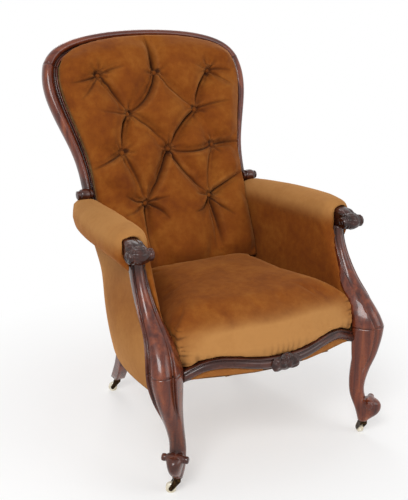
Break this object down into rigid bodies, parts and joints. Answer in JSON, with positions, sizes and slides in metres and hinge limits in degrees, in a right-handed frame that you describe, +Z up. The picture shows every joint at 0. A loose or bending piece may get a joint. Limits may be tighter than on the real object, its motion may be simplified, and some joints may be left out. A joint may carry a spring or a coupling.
{
  "type": "upholstered chair",
  "caption": "Open armchair with a carved spoon-shaped back, deep-buttoned inside back, sprung seat, padded arms and curved legs on swivelling castors.",
  "frame": {"origin": "on the floor below the middle of the chair's bounding box", "axes": "+Z up, -Y out of the chair's front, +X towards the right of someone looking at its front"},
  "size_m": [0.6982, 0.8016, 1.0297],
  "materials": {
    "beech": "raw",
    "ceramic": "glazed",
    "dark_brass": "tarnished",
    "dark_mahogany": "polished",
    "hessian": "woven",
    "mahogany": "polished",
    "spring_steel": "coppered",
    "tan_cloth": "woven",
    "velvet": "pile"
  },
  "bodies": {
    "chair": {"arm_cushion_left": "velvet", "arm_cushion_right": "velvet", "arm_post_left": "mahogany", "arm_post_right": "mahogany", "arm_rail_left": "beech", "arm_rail_right": "beech", "arm_scroll_left": "dark_mahogany", "arm_scroll_right": "dark_mahogany", "back_button_1": "velvet", "back_button_10": "velvet", "back_button_2": "velvet", "back_button_3": "velvet", "back_button_4": "velvet", "back_button_5": "velvet", "back_button_6": "velvet", "back_button_7": "velvet", "back_button_8": "velvet", "back_button_9": "velvet", "back_cushion": "velvet", "back_hessian": "hessian", "back_webbing": "hessian", "bottoming_cloth": "tan_cloth", "castor_plate_front_left": "dark_brass", "castor_plate_front_right": "dark_brass", "castor_plate_rear_left": "dark_brass", "castor_plate_rear_right": "dark_brass", "corner_block_front_left": "beech", "corner_block_front_right": "beech", "corner_block_rear_left": "beech", "corner_block_rear_right": "beech", "crest_rail": "mahogany", "front_leg_left": "mahogany", "front_leg_right": "mahogany", "front_rail": "mahogany", "lower_back_rail": "beech", "outside_arm_left": "velvet", "outside_arm_right": "velvet", "outside_back": "velvet", "rail_carving": "dark_mahogany", "rear_post_left": "mahogany", "rear_post_right": "mahogany", "rear_rail": "beech", "seat_cushion": "velvet", "seat_springs": "spring_steel", "seat_webbing": "hessian", "side_rail_left": "beech", "side_rail_right": "beech", "spring_hessian": "hessian"},
    "castor_front_left": {"castor_horn_front_left": "dark_brass", "castor_axle_front_left": "dark_brass"},
    "wheel_front_left": {"castor_wheel_front_left": "ceramic"},
    "castor_front_right": {"castor_horn_front_right": "dark_brass", "castor_axle_front_right": "dark_brass"},
    "wheel_front_right": {"castor_wheel_front_right": "ceramic"},
    "castor_rear_left": {"castor_horn_rear_left": "dark_brass", "castor_axle_rear_left": "dark_brass"},
    "wheel_rear_left": {"castor_wheel_rear_left": "ceramic"},
    "castor_rear_right": {"castor_horn_rear_right": "dark_brass", "castor_axle_rear_right": "dark_brass"},
    "wheel_rear_right": {"castor_wheel_rear_right": "ceramic"}
  },
  "joints": [
    {"name": "swivel_front_left", "type": "hinge", "parent": "chair", "child": "castor_front_left", "pos_m": [-0.27892, -0.35756, 0.04], "axis": [0, 0, 1], "continuous": true},
    {"name": "spin_front_left", "type": "hinge", "parent": "castor_front_left", "child": "wheel_front_left", "pos_m": [-0.29241, -0.34992, 0.01264], "axis": [-0.4924, -0.8704, 0], "continuous": true},
    {"name": "swivel_front_right", "type": "hinge", "parent": "chair", "child": "castor_front_right", "pos_m": [0.27892, -0.35756, 0.04], "axis": [0, 0, 1], "continuous": true},
    {"name": "spin_front_right", "type": "hinge", "parent": "castor_front_right", "child": "wheel_front_right", "pos_m": [0.28293, -0.34259, 0.01264], "axis": [-0.9659, 0.2588, 0], "continuous": true},
    {"name": "swivel_rear_left", "type": "hinge", "parent": "chair", "child": "castor_rear_left", "pos_m": [-0.183, 0.20157, 0.04], "axis": [0, 0, 1], "continuous": true},
    {"name": "spin_rear_left", "type": "hinge", "parent": "castor_rear_left", "child": "wheel_rear_left", "pos_m": [-0.19649, 0.20921, 0.01264], "axis": [-0.4924, -0.8704, 0], "continuous": true},
    {"name": "swivel_rear_right", "type": "hinge", "parent": "chair", "child": "castor_rear_right", "pos_m": [0.183, 0.20157, 0.04], "axis": [0, 0, 1], "continuous": true},
    {"name": "spin_rear_right", "type": "hinge", "parent": "castor_rear_right", "child": "wheel_rear_right", "pos_m": [0.16951, 0.20921, 0.01264], "axis": [-0.4924, -0.8704, 0], "continuous": true}
  ]
}
